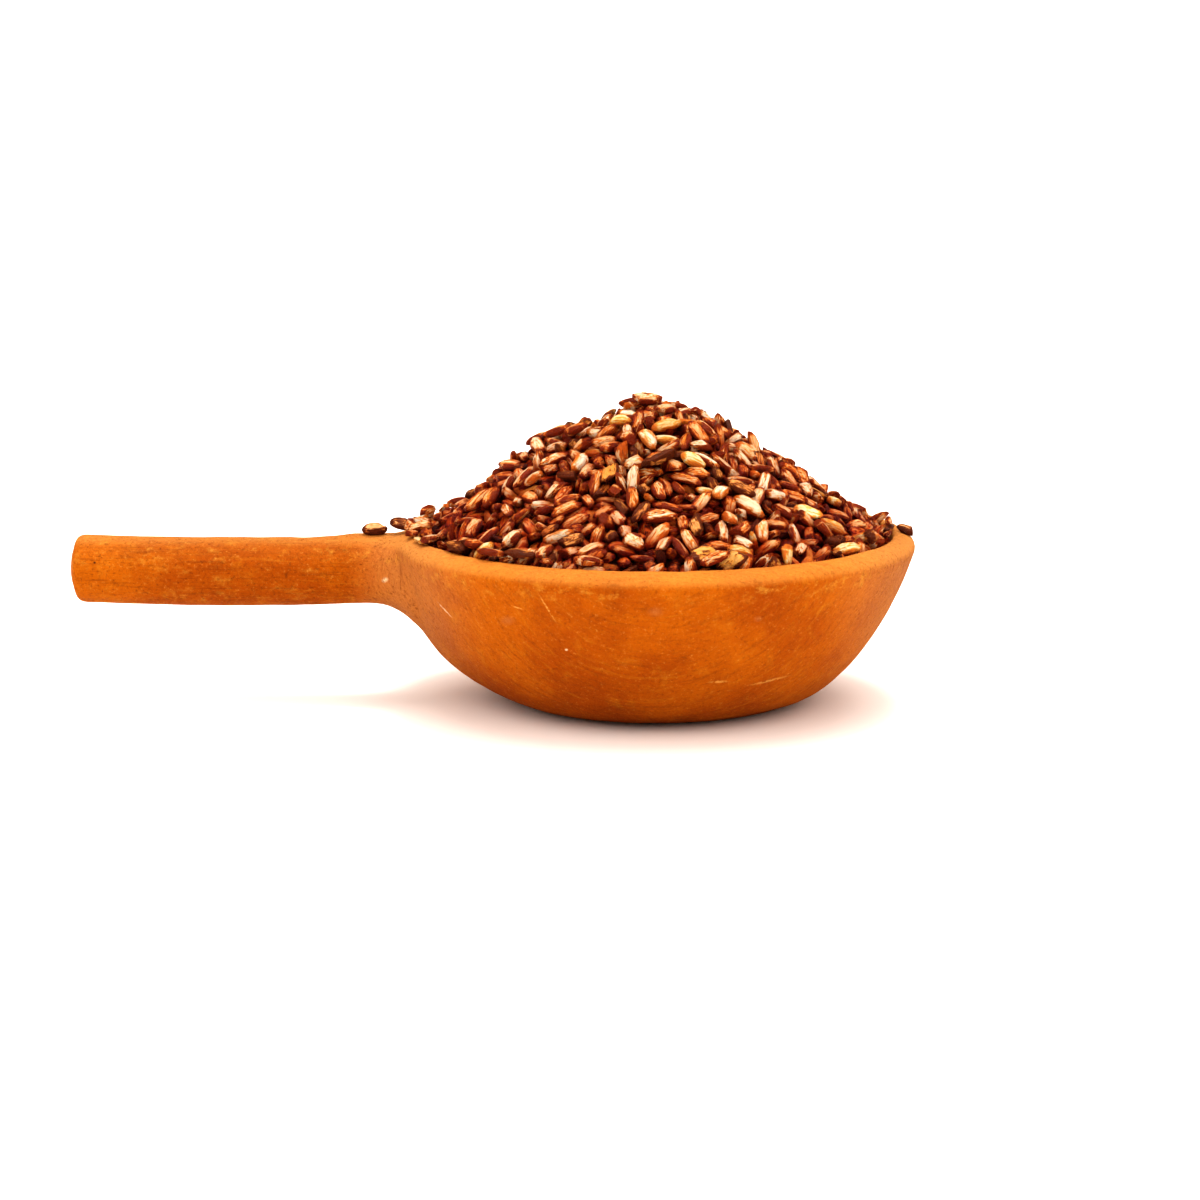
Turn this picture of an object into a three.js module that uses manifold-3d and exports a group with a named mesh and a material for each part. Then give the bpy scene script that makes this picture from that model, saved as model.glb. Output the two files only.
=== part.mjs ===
// A small fired-clay ladle bowl with a straight round handle, heaped with uncooked red rice.
// Millimetres, +Z up. The origin is the centre of the bowl's flat base, and the handle runs along -X.
// Two pieces: the ladle is one solid of clay, and the rice is one solid that lies in it.
// A few stray grains that lie on the clay, away from the heap, belong to the ladle's solid.

import * as THREE from "three";
import { mergeVertices } from "three/addons/utils/BufferGeometryUtils.js";
import Module from "manifold-3d";

// Driving sizes.
const BOWL_RADIUS = 45; // at the widest point, just under the rim
const BOWL_HEIGHT = 29.7; // table to the top of the rim
const BASE_RADIUS = 20; // flat spot that the bowl stands on
const RIM_WIDTH = 4; // across the top of the wall
const FLOOR_THICKNESS = 5.5; // clay under the rice
const HANDLE_REACH = 101.4; // bowl's axis to the handle's end
const HANDLE_RADIUS = 5.95;
const HANDLE_HEIGHT = 22; // table to the handle's centreline
const HANDLE_ROOT = 37; // the handle starts this far from the axis, inside the wall
const HEAP_RISE = 22.9; // rim to the top of the heap
const GRAIN = { length: 6.3, width: 2.6, thickness: 2.1 };
const CORE_DEPTH = 1.5; // the heap's core lies this far under its outermost grains
const CLEARANCE = 0.35; // between rice and clay

const SEED = 20417;
const GRAIN_COUNT = 200;
const BOWL_SEGMENTS = 44;
const HEAP_SEGMENTS = 32;

const CLAY_COLOUR = 0xc8691f;
const RICE_COLOUR = 0x9a5230;

const wasm = await Module();
wasm.setup();

// A repeatable stream of numbers from 0 to 1.
function seededRandom(seed) {
  let state = seed;
  return () => {
    state = (state + 0x6d2b79f5) | 0;
    let t = Math.imul(state ^ (state >>> 15), 1 | state);
    t = (t + Math.imul(t ^ (t >>> 7), 61 | t)) ^ t;
    return ((t ^ (t >>> 14)) >>> 0) / 4294967296;
  };
}

function solidOf(geometry) {
  const bare = geometry.clone();
  bare.deleteAttribute("normal");
  bare.deleteAttribute("uv");
  const merged = mergeVertices(bare, 1e-4);
  return new wasm.Manifold(
    new wasm.Mesh({
      numProp: 3,
      vertProperties: merged.attributes.position.array,
      triVerts: new Uint32Array(merged.index.array),
    }),
  );
}

function geometryOf(solid) {
  const { vertProperties, triVerts } = solid.getMesh();
  const geometry = new THREE.BufferGeometry();
  geometry.setAttribute("position", new THREE.BufferAttribute(vertProperties, 3));
  geometry.setIndex(new THREE.BufferAttribute(triVerts, 1));
  geometry.computeVertexNormals();
  return geometry;
}

function largestBody(solid) {
  return solid.decompose().reduce((a, b) => (b.volume() > a.volume() ? b : a));
}

// Turns a profile of (radius, height) points about the vertical axis.
function turned(profile, segments) {
  const geometry = new THREE.LatheGeometry(profile, segments);
  geometry.rotateX(Math.PI / 2);
  return geometry;
}

// Moves every vertex of a geometry to where the function says.
function reshaped(geometry, move) {
  const position = geometry.getAttribute("position");
  const point = new THREE.Vector3();
  for (let i = 0; i < position.count; i++) {
    point.fromBufferAttribute(position, i);
    move(point);
    position.setXYZ(i, point.x, point.y, point.z);
  }
  return geometry;
}

// ---- The clay ladle ----

// The outside of the wall, from the edge of the flat base to just under the rim.
function outerWall() {
  return new THREE.CubicBezierCurve(
    new THREE.Vector2(BASE_RADIUS, 0),
    new THREE.Vector2(31, 0.4),
    new THREE.Vector2(38.4, 9.5),
    new THREE.Vector2(BOWL_RADIUS - 0.2, BOWL_HEIGHT - 3.2),
  );
}

// The outside of the bowl, from the middle of its base out, up the wall and over the rim to the axis.
function bowlOutsideProfile() {
  const shoulder = outerWall().v3;
  const edge = BOWL_RADIUS - RIM_WIDTH;
  const rim = new THREE.CubicBezierCurve(
    shoulder,
    new THREE.Vector2(BOWL_RADIUS + 0.1, shoulder.y + 1.1),
    new THREE.Vector2(BOWL_RADIUS - 0.2, shoulder.y + 1.5),
    new THREE.Vector2(BOWL_RADIUS - 1.4, BOWL_HEIGHT - 0.8),
  );
  return [
    new THREE.Vector2(0, 0),
    ...outerWall().getPoints(9),
    ...rim.getPoints(5).slice(1),
    new THREE.Vector2(edge, BOWL_HEIGHT),
    new THREE.Vector2(0, BOWL_HEIGHT),
  ];
}

// The wall under the handle stands out a little, so that the handle's root runs down into it.
function fillOutWall(point) {
  const middle = new THREE.Vector3(-37.5, 0, 11);
  const full = 2.5; // this far around the middle the wall moves by the whole pull
  const reach = 19.5;
  const pull = 2.3;
  const near = 1 - THREE.MathUtils.smoothstep(point.distanceTo(middle), full, reach);
  point.x -= pull * near;
}

// Points on the inside of the wall, from the middle of the floor to the rim, moved in by a gap.
function cavityPoints(gap, count) {
  const rim = BOWL_RADIUS - RIM_WIDTH;
  const wall = new THREE.CubicBezierCurve(
    new THREE.Vector2(14 - gap, FLOOR_THICKNESS + gap),
    new THREE.Vector2(28 - gap, FLOOR_THICKNESS + gap),
    new THREE.Vector2(36 - gap, 13),
    new THREE.Vector2(rim - gap, BOWL_HEIGHT - 1),
  );
  return [new THREE.Vector2(0, FLOOR_THICKNESS + gap), ...wall.getPoints(count)];
}

function cavityProfile() {
  const rim = BOWL_RADIUS - RIM_WIDTH;
  const flare = new THREE.Vector2(rim + 0.4, BOWL_HEIGHT + 0.1);
  const above = BOWL_HEIGHT + 5;
  return [
    ...cavityPoints(0, 6),
    flare,
    new THREE.Vector2(rim + 0.4, above),
    new THREE.Vector2(0, above),
  ];
}

// The handle's upper and lower outline and its half width, at a distance from the bowl's axis.
// It sags a little in the middle. Its root rises to the rim, spreads sideways, and runs down into the
// wall in a long fillet.
function handleSection(distance) {
  const sag = 0.6 * ((distance - 72) / 30) ** 2;
  const centre = HANDLE_HEIGHT + sag;
  const toWall = (start) => Math.max(0, start - distance);
  const rise = Math.min(0.035 * toWall(59) ** 1.5, BOWL_HEIGHT - 0.9 - centre - HANDLE_RADIUS);
  const drop = 0.07 * toWall(48.5) ** 2;
  const spread = Math.min(0.05 * toWall(52) ** 2, 5);
  const top = centre + HANDLE_RADIUS + rise;
  const insideWall = 8.6 + 0.65 * Math.min(distance - HANDLE_ROOT, 2); // the fillet ends here
  const bottom = Math.max(centre - HANDLE_RADIUS - drop, insideWall);
  return { top, bottom, halfWidth: HANDLE_RADIUS + spread };
}

// A round bar of unit radius with a softly domed end, stretched along the handle's sections.
function handleGeometry() {
  const dome = 0.9; // how far the end bulges
  const edge = 1.6; // rounding between the end and the side
  const stations = [96, 88, 79, 70, 62, 57, 53, 50, 47.5, 45, 43.2, 41.6, 40.2, 38.8, HANDLE_ROOT];
  const end = HANDLE_REACH - dome;
  const profile = [
    new THREE.Vector2(0, HANDLE_REACH),
    new THREE.Vector2(0.55, HANDLE_REACH - 0.3 * dome),
    new THREE.Vector2(1 - edge / HANDLE_RADIUS, end),
    new THREE.Vector2(1 - (0.3 * edge) / HANDLE_RADIUS, end - 0.35 * edge),
    new THREE.Vector2(1, end - edge),
    ...stations.map((distance) => new THREE.Vector2(1, distance)),
    new THREE.Vector2(0, HANDLE_ROOT),
  ].reverse();
  const bar = new THREE.LatheGeometry(profile, 20);
  return reshaped(bar, (point) => {
    const { top, bottom, halfWidth } = handleSection(point.y);
    const side = point.x * halfWidth;
    const height = (top + bottom) / 2 + (point.z * (top - bottom)) / 2;
    point.set(-point.y, side, height);
  });
}

// ---- Grains ----

// One grain of rice, long along X: a five-sided bar with two pointed ends, out to the grain's true width.
function grainGeometry(length, width, thickness) {
  const grain = new THREE.SphereGeometry(0.5, 5, 3);
  const ringShare = Math.sin(Math.PI / 3); // its two rings are narrower than the sphere
  grain.rotateZ(Math.PI / 2);
  grain.scale(length, width / ringShare, thickness / ringShare);
  return grain;
}

// Lays a grain at a point with its long axis along heading and its flat side facing up.
function placedGrain(size, point, heading, up) {
  const along = heading.clone().projectOnPlane(up).normalize();
  const across = new THREE.Vector3().crossVectors(up, along);
  const placing = new THREE.Matrix4().makeBasis(along, across, up).setPosition(point);
  const grain = grainGeometry(size.length, size.width, size.thickness);
  return grain.applyMatrix4(placing);
}

// The stray grains that lie on the rim and on the root of the handle.
function strayGrains() {
  const up = new THREE.Vector3(0, 0, 1);
  const stray = [
    { x: -48.2, y: -0.5, z: 29.3, length: 4.6, width: 2.5, turn: 0.15 },
    { x: -43.1, y: 2.2, z: 29.9, length: 4.4, width: 2.4, turn: -0.7 },
    { x: 43.0, y: 2.6, z: 29.6, length: 3.2, width: 2.2, turn: -0.6 },
  ];
  return stray.map(({ x, y, z, length, width, turn }) => {
    const heading = new THREE.Vector3(Math.cos(turn), Math.sin(turn), 0);
    const size = { length, width, thickness: 2 };
    return placedGrain(size, new THREE.Vector3(x, y, z), heading, up);
  });
}

function ladleSolid() {
  const bowl = reshaped(turned(bowlOutsideProfile(), BOWL_SEGMENTS), fillOutWall);
  let ladle = solidOf(bowl);
  ladle = ladle.add(solidOf(handleGeometry()));
  ladle = ladle.subtract(solidOf(turned(cavityProfile(), BOWL_SEGMENTS)));
  for (const grain of strayGrains()) ladle = ladle.add(solidOf(grain));
  return ladle;
}

// ---- The heap of rice ----

// Height of the heap's outer surface at a share of the way out from its middle to the rim.
// A cone with a broad round top, a little hollow on its way down.
function heapHeight(share) {
  const topRounding = 0.64;
  const hollow = 2.1;
  const reach = Math.hypot(1, topRounding);
  const cone = (reach - Math.hypot(share, topRounding)) / (reach - topRounding);
  return BOWL_HEIGHT + HEAP_RISE * cone - hollow * 4 * share * (1 - share);
}

const HEAP_RADIUS = BOWL_RADIUS - RIM_WIDTH - CLEARANCE;

// The bare core: the heap less its outer grains, with bumps of a grain's size, down to the bowl's floor.
function coreGeometry(random) {
  const bump = 0.5;
  const rings = 9;
  const above = [];
  for (let i = 0; i <= rings; i++) {
    const share = i / rings;
    const height = Math.max(heapHeight(share) - CORE_DEPTH, BOWL_HEIGHT - 0.9);
    above.push(new THREE.Vector2(share * HEAP_RADIUS, height));
  }
  const below = cavityPoints(CLEARANCE, 6).reverse();
  const core = solidOf(turned([...above, ...below].reverse(), HEAP_SEGMENTS));
  return reshaped(geometryOf(core), (point) => {
    const radius = Math.hypot(point.x, point.y);
    const free = point.z > BOWL_HEIGHT - 1 && radius < HEAP_RADIUS - 1;
    if (free) point.z += bump * (2 * random() - 1);
  });
}

// Whether every corner of a grain stays clear of the rim.
function clearOfClay(grain) {
  const position = grain.getAttribute("position");
  for (let i = 0; i < position.count; i++) {
    const radius = Math.hypot(position.getX(i), position.getY(i));
    const low = position.getZ(i) < BOWL_HEIGHT + CLEARANCE + 0.2;
    if (low && radius > HEAP_RADIUS) return false;
  }
  return true;
}

// The way straight out of the heap's slope, at a share of the way to the rim.
function slopeNormal(share, outward) {
  const step = 0.01;
  const slope = (heapHeight(share + step) - heapHeight(share - step)) / (2 * step * HEAP_RADIUS);
  return new THREE.Vector3(-slope * outward.x, -slope * outward.y, 1).normalize();
}

// A grain on the slope. Where it would touch the rim, it moves in until it is clear.
function grainOnSlope(size, angle, share, turn, tilt) {
  const outward = new THREE.Vector3(Math.cos(angle), Math.sin(angle), 0);
  const up = slopeNormal(share, outward);
  const heading = outward.clone().projectOnPlane(up).normalize().applyAxisAngle(up, turn);
  const leaning = up.clone().addScaledVector(heading, tilt).normalize();
  const point = outward.clone().multiplyScalar(share * HEAP_RADIUS);
  point.z = heapHeight(share) - CORE_DEPTH;
  point.addScaledVector(up, size.thickness / 2);
  const grain = placedGrain(size, point, heading, leaning);
  if (clearOfClay(grain)) return { grain, up };
  return grainOnSlope(size, angle, share - 0.02, turn, tilt);
}

// Sinks a grain into the core until it is bedded in it by a good part of its bulk.
function bedded(core, { grain, up }) {
  const step = up.clone().multiplyScalar(-0.15);
  let solid = solidOf(grain);
  const enough = 0.2 * solid.volume();
  while (core.intersect(solid).volume() < enough) {
    solid = solid.translate(step.x, step.y, step.z);
  }
  return solid;
}

// Grains spread evenly over the slope by the golden angle, each with its own size, heading and tilt.
// About one in three is a broken half.
function heapGrains(core, random) {
  const goldenAngle = Math.PI * (3 - Math.sqrt(5));
  const vary = (spread) => 1 + spread * (2 * random() - 1);
  const grains = [];
  for (let i = 0; i < GRAIN_COUNT; i++) {
    const size = {
      length: GRAIN.length * (random() < 0.33 ? 0.55 : 1) * vary(0.15),
      width: GRAIN.width * vary(0.12),
      thickness: GRAIN.thickness * vary(0.12),
    };
    const angle = i * goldenAngle + 0.25 * random();
    const share = Math.sqrt((i + 0.5) / GRAIN_COUNT);
    const turn = 2 * Math.PI * random();
    const tilt = 0.4 * (2 * random() - 1);
    grains.push(bedded(core, grainOnSlope(size, angle, share, turn, tilt)));
  }
  return grains;
}

function heapSolid() {
  const random = seededRandom(SEED);
  const core = solidOf(coreGeometry(random));
  const heap = wasm.Manifold.union([core, ...heapGrains(core, random)]);
  return largestBody(heap); // leaves out the pores shut in between grains
}

function clayMesh() {
  const clay = new THREE.MeshStandardMaterial({ color: CLAY_COLOUR, roughness: 0.8, metalness: 0 });
  const mesh = new THREE.Mesh(geometryOf(ladleSolid()), clay);
  mesh.name = "clay_ladle";
  return mesh;
}

function riceMesh() {
  const rice = new THREE.MeshStandardMaterial({ color: RICE_COLOUR, roughness: 0.5, metalness: 0 });
  const mesh = new THREE.Mesh(geometryOf(heapSolid()), rice);
  mesh.name = "rice_heap";
  return mesh;
}

const bowlOfRice = new THREE.Group();
bowlOfRice.add(clayMesh(), riceMesh());

export default bowlOfRice;
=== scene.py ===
"""A hand-made fired-clay bowl with a straight handle, heaped with uncooked red rice.

Metres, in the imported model's frame: the origin is the centre of the bowl's flat base,
+Z is up and the handle runs along -X.
"""

import bpy
import math
import numpy as np
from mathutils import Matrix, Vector


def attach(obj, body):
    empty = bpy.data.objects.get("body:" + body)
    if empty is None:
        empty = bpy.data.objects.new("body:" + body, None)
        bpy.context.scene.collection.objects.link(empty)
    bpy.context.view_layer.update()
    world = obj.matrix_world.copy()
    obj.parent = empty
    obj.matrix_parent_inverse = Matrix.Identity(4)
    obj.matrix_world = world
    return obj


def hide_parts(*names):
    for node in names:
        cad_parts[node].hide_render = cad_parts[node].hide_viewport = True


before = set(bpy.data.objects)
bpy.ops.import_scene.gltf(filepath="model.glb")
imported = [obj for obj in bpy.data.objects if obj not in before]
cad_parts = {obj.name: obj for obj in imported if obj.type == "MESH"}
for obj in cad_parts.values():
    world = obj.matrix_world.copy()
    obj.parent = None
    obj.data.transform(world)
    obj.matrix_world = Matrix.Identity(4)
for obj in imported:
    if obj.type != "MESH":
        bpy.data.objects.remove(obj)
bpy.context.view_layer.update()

MM = 0.001
SEED = 20417

# The bowl and its handle.
BASE_RADIUS = 20 * MM
BOWL_RADIUS = 45 * MM
RIM_HEIGHT = 29.7 * MM
RIM_INNER = 41 * MM  # the rice meets the clay here
SHOULDER_HEIGHT = RIM_HEIGHT - 3.2 * MM  # the wall turns over into the rim here
FLOOR_THICKNESS = 5.5 * MM
HANDLE_REACH = 101.4 * MM  # bowl's axis to the handle's end
HANDLE_RADIUS = 5.95 * MM
HANDLE_HEIGHT = 22 * MM  # floor to the handle's centreline
HANDLE_ROOT = 37 * MM  # the handle starts this far from the axis, inside the wall
BOWL_SIDES = 160
HANDLE_SIDES = 56
CLAY_FACE = 0.61 * MM  # side of the faces of the clay's surface

# The heap.
HEAP_RADIUS = 41 * MM
HEAP_RISE = 23.4 * MM  # rim to the top
HEAP_HOLLOW = 2.1 * MM  # how far the slope dips halfway down
HEAP_TOP_ROUNDING = 0.64
HEAP_EDGE = 1.5 * MM  # the slope ends this far above the rim
BULGE_PLACE = (-21.5 * MM, -1 * MM)  # the heap is fuller here, on its left
BULGE_RISE = 2.2 * MM
BULGE_REACH = 17 * MM
CORE_DEPTH = 5.4 * MM  # the loose grains reach this far under the heap's surface
GRAIN_COUNT = 1750
EDGE_GRAINS = 80  # more of them, over the inner edge of the rim
EDGE_BAND = (38 * MM, 42.2 * MM)  # and how far from the axis they start
SETTLING_STEPS = 240
PAIR_REACH = 2.9 * MM  # balls nearer than this may push each other
GAP_REACH = 2.6 * MM  # gaps between grains are measured up to this
SMOOTH_ANGLE = math.radians(72)  # edges of grains sharper than this stay sharp

# The photograph's frame, in pixels of its 1200 by 1200 image.
PHOTO_SIDE = 1200
ORIGIN_PIXEL = (654.0, 696.7)  # where the base's centre falls
PIXELS_PER_METRE = 5730  # at the bowl's axis
CAMERA_DISTANCE = 0.6
CAMERA_ELEVATION = math.radians(12)
SENSOR_WIDTH = 36

LAMP_WHITE = (1, 0.98, 0.96)


# ---- studio


def aim_camera():
    """Stands the camera where the photograph was taken, with the base on its pixel."""
    focal = PIXELS_PER_METRE * CAMERA_DISTANCE
    right = ORIGIN_PIXEL[0] - PHOTO_SIDE / 2
    down = ORIGIN_PIXEL[1] - PHOTO_SIDE / 2
    ray = Vector((right, down, focal)).length
    drop = math.hypot(down, focal)
    pitch = math.asin(ray * math.sin(CAMERA_ELEVATION) / drop) - math.atan2(down, focal)
    forward = focal * math.cos(pitch) - down * math.sin(pitch)
    yaw = math.atan2(right, forward)

    lens = bpy.data.cameras.new("camera")
    lens.sensor_fit = "HORIZONTAL"
    lens.sensor_width = SENSOR_WIDTH
    lens.lens = SENSOR_WIDTH * focal / PHOTO_SIDE
    lens.clip_end = 200
    camera = bpy.data.objects.new("camera", lens)
    bpy.context.scene.collection.objects.link(camera)
    camera.location = (
        0,
        -CAMERA_DISTANCE * math.cos(CAMERA_ELEVATION),
        CAMERA_DISTANCE * math.sin(CAMERA_ELEVATION),
    )
    camera.rotation_euler = (math.pi / 2 - pitch, 0, yaw)
    bpy.context.scene.camera = camera


def shine(name, strength, softness, azimuth, elevation, colour=LAMP_WHITE):
    """A far light in a direction in degrees. Azimuth 0 is the camera's side."""
    light = bpy.data.lights.new(name, "SUN")
    light.energy = strength
    light.angle = math.radians(softness)
    light.color = colour
    lamp = bpy.data.objects.new(name, light)
    bpy.context.scene.collection.objects.link(lamp)
    lamp.rotation_euler = (math.radians(90 - elevation), 0, math.radians(azimuth))


def lay_floor():
    bpy.ops.mesh.primitive_plane_add(size=120)
    floor = bpy.context.object
    floor.name = "floor"
    paint, shader = new_material("pale_floor")
    look = {"Base Color": (0.81, 0.768, 0.73, 1), "Roughness": 0.9, "Specular IOR Level": 0.1}
    plug(paint.node_tree, shader, look)
    floor.data.materials.append(paint)


def light_studio():
    world = bpy.data.worlds.new("studio")
    world.use_nodes = True
    sky = world.node_tree.nodes["Background"]
    plug(world.node_tree, sky, {"Color": (1, 0.985, 0.96, 1), "Strength": 0.9})
    world.cycles_visibility.glossy = False
    bpy.context.scene.world = world
    shine("top", 1.5, 50, azimuth=165, elevation=78, colour=(1, 0.98, 0.95))
    shine("front", 0.65, 60, azimuth=10, elevation=42)
    shine("left", 0.85, 60, azimuth=-80, elevation=28)
    shine("right", 0.6, 60, azimuth=80, elevation=28)
    shine("spark", 0.8, 12, azimuth=160, elevation=78, colour=(1, 1, 1))
    bpy.context.scene.view_settings.view_transform = "Standard"
    bpy.context.scene.view_settings.look = "High Contrast"


# ---- materials


def new_material(name):
    material = bpy.data.materials.new(name)
    material.use_nodes = True
    return material, material.node_tree.nodes["Principled BSDF"]


def plug(tree, made, inputs):
    """Fills a node's inputs, each with a value or with another node's output to link."""
    for name, value in inputs.items():
        if isinstance(value, bpy.types.NodeSocket):
            tree.links.new(value, made.inputs[name])
        else:
            made.inputs[name].default_value = value


def node(tree, kind, settings=None, inputs=None):
    made = tree.nodes.new(kind)
    for name, value in (settings or {}).items():
        setattr(made, name, value)
    plug(tree, made, inputs or {})
    return made


def noise(tree, place, scale, detail=3, roughness=0.55, distortion=0.0):
    inputs = {
        "Vector": place,
        "Scale": scale,
        "Detail": detail,
        "Roughness": roughness,
        "Distortion": distortion,
    }
    return node(tree, "ShaderNodeTexNoise", inputs=inputs).outputs["Fac"]


def stretched(tree, place, scale, location=(0, 0, 0)):
    inputs = {"Vector": place, "Scale": scale, "Location": location}
    return node(tree, "ShaderNodeMapping", inputs=inputs).outputs["Vector"]


def ramp(tree, value, low, high, start=0.0, end=1.0):
    """Maps low..high smoothly to start..end."""
    inputs = {"Value": value, "From Min": low, "From Max": high, "To Min": start, "To Max": end}
    settings = {"interpolation_type": "SMOOTHSTEP"}
    return node(tree, "ShaderNodeMapRange", settings, inputs).outputs["Result"]


def sums(tree, operation, first, second, third=0.0):
    inputs = {0: first, 1: second, 2: third}
    return node(tree, "ShaderNodeMath", {"operation": operation}, inputs).outputs[0]


def blend(tree, share, first, second, kind="MIX"):
    """Mixes two colours."""
    settings = {"data_type": "RGBA", "blend_type": kind}
    return node(tree, "ShaderNodeMix", settings, {0: share, 6: first, 7: second}).outputs[2]


def stored(tree, name, output="Vector"):
    """A value that each corner of a piece holds under a name."""
    return node(tree, "ShaderNodeAttribute", {"attribute_name": name}).outputs[output]


def bump(tree, height, depth, under=None):
    inputs = {"Height": height, "Distance": depth, "Strength": 1.0}
    if under is not None:
        inputs["Normal"] = under
    return node(tree, "ShaderNodeBump", inputs=inputs).outputs["Normal"]


# Marks on the clay: what it is, its middle, its length and width in mm, and its slant in degrees
# as seen from the front.
CLAY_MARKS = (
    ("scratch", (-17.3, -39.9, 23.0), 5.8, 0.38, -60),
    ("scratch", (10.7, -35.2, 9.9), 4.0, 0.6, 0),
    ("scratch", (18.9, -30.2, 9.2), 9.0, 0.6, 8),
    ("scratch", (-22.4, -37.4, 22.6), 2.4, 0.35, -12),
    ("chalk", (-35.0, -23.0, 19.6), 3.6, 0.34, -42),
    ("chalk", (-14.3, -37.4, 15.7), 0.6, 0.55, 0),
    ("chalk", (-46.1, -6.5, 21.9), 1.5, 1.0, 30),
    ("ash", (0.2, -43.5, 23.2), 3.0, 2.0, 0),
    ("ash", (16.8, -39.0, 21.3), 1.6, 1.2, 0),
    ("ash", (-24.0, -34.5, 20.0), 3.4, 2.0, 20),
    ("pit", (-96.3, -5.9, 24.4), 0.6, 0.5, 0),
)
MARK_DEPTH = 3 * MM  # how far a mark reaches into and out of the wall
MARK_LOOKS = {  # colour and strength
    "scratch": ((0.74, 0.38, 0.10, 1), 0.75),
    "chalk": ((0.88, 0.66, 0.42, 1), 0.9),
    "ash": ((0.42, 0.20, 0.10, 1), 0.24),
    "pit": ((0.05, 0.015, 0.004, 1), 1.0),
}


def mark_clay(tree, place, colour):
    """Lays the clay's marks over its colour, each a soft-edged ellipse broken up a little."""
    crumbling = ramp(tree, noise(tree, place, 1500, 2), 0.36, 0.5)
    for kind, middle, length, width, slant in CLAY_MARKS:
        settings = {"vector_type": "TEXTURE"}
        inputs = {
            "Vector": place,
            "Location": [part * MM for part in middle],
            "Rotation": (0, -math.radians(slant), 0),
            "Scale": (length / 2 * MM, MARK_DEPTH, width / 2 * MM),
        }
        local = node(tree, "ShaderNodeMapping", settings, inputs).outputs["Vector"]
        far = node(tree, "ShaderNodeVectorMath", {"operation": "LENGTH"}, {0: local})
        tone, strength = MARK_LOOKS[kind]
        share = ramp(tree, far.outputs["Value"], 1.25, 0.1, 0, strength)
        if kind in ("scratch", "chalk"):
            share = sums(tree, "MULTIPLY", share, crumbling)
        colour = blend(tree, share, colour, tone)
    return colour


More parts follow.
